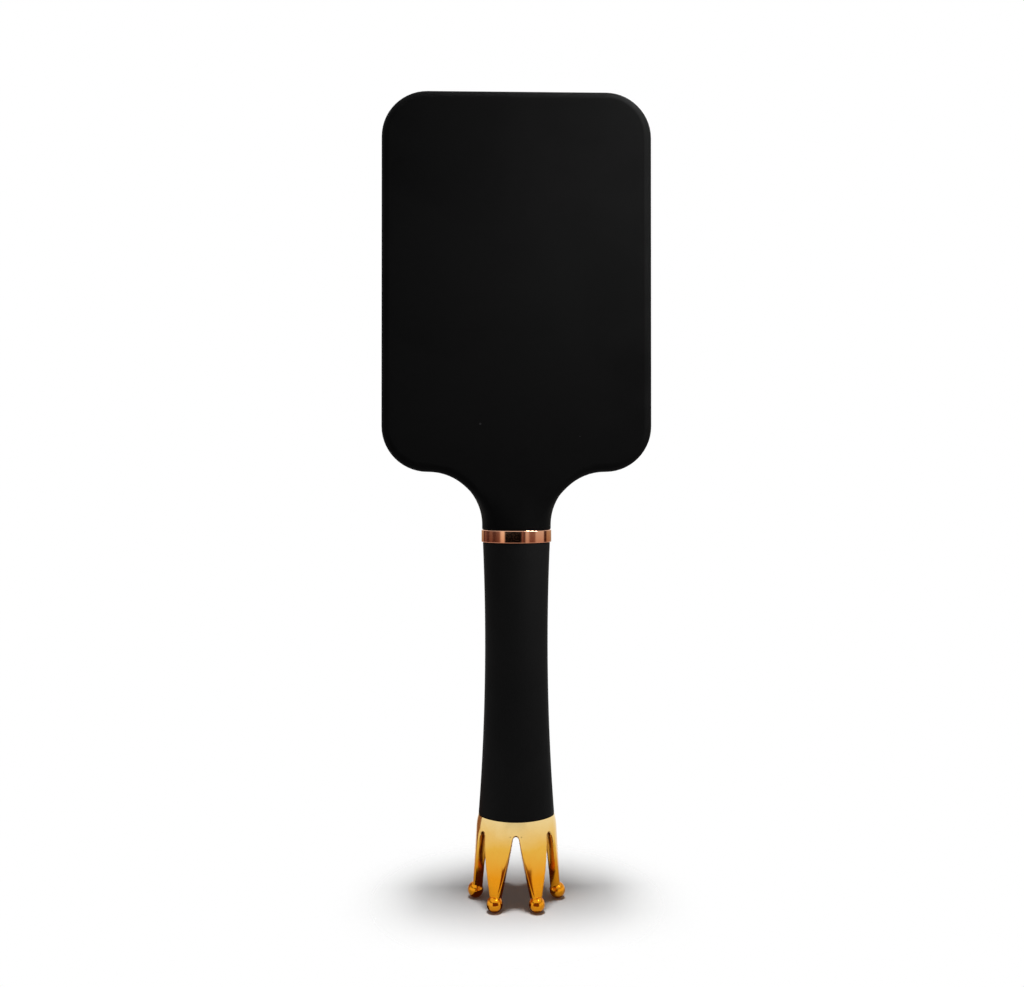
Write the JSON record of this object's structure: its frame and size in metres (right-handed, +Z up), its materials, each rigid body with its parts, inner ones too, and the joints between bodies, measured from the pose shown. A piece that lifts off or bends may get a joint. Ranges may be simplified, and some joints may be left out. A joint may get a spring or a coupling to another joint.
{
  "type": "paddle hair brush",
  "caption": "Flat paddle hair brush with a pin cushion, an oval waisted handle with a metal band, and a metal crown at the handle's end that it stands on.",
  "frame": {"origin": "on the floor under the brush, where the handle's axis meets it", "axes": "+Z up along the handle to the top of the paddle, +Y from the paddle's plain back towards the pins, +X across the paddle"},
  "size_m": [0.083, 0.0391, 0.2491],
  "materials": {
    "soft_black": "matte",
    "frame_black": "satin",
    "cushion_rubber": "matte",
    "pin_nylon": "satin",
    "rose_gold": "polished",
    "yellow_gold": "polished"
  },
  "bodies": {
    "head": {"head_shell": "soft_black", "cushion_frame": "frame_black", "cushion": "cushion_rubber", "neck_ring": "rose_gold", "handle_grip": "soft_black", "crown": "yellow_gold"},
    "pin_field": {"pin_row_01": "pin_nylon", "pin_row_02": "pin_nylon", "pin_row_03": "pin_nylon", "pin_row_04": "pin_nylon", "pin_row_05": "pin_nylon", "pin_row_06": "pin_nylon", "pin_row_07": "pin_nylon", "pin_row_08": "pin_nylon", "pin_row_09": "pin_nylon", "pin_row_10": "pin_nylon", "pin_row_11": "pin_nylon", "pin_row_12": "pin_nylon", "pin_row_13": "pin_nylon", "pin_row_14": "pin_nylon"}
  },
  "joints": [
    {"name": "cushion_press", "type": "slide", "parent": "head", "child": "pin_field", "axis": [0, -1, 0], "range_m": [0, 0.0035], "stiffness_N_per_m": 3000, "deforming": ["cushion"]}
  ]
}
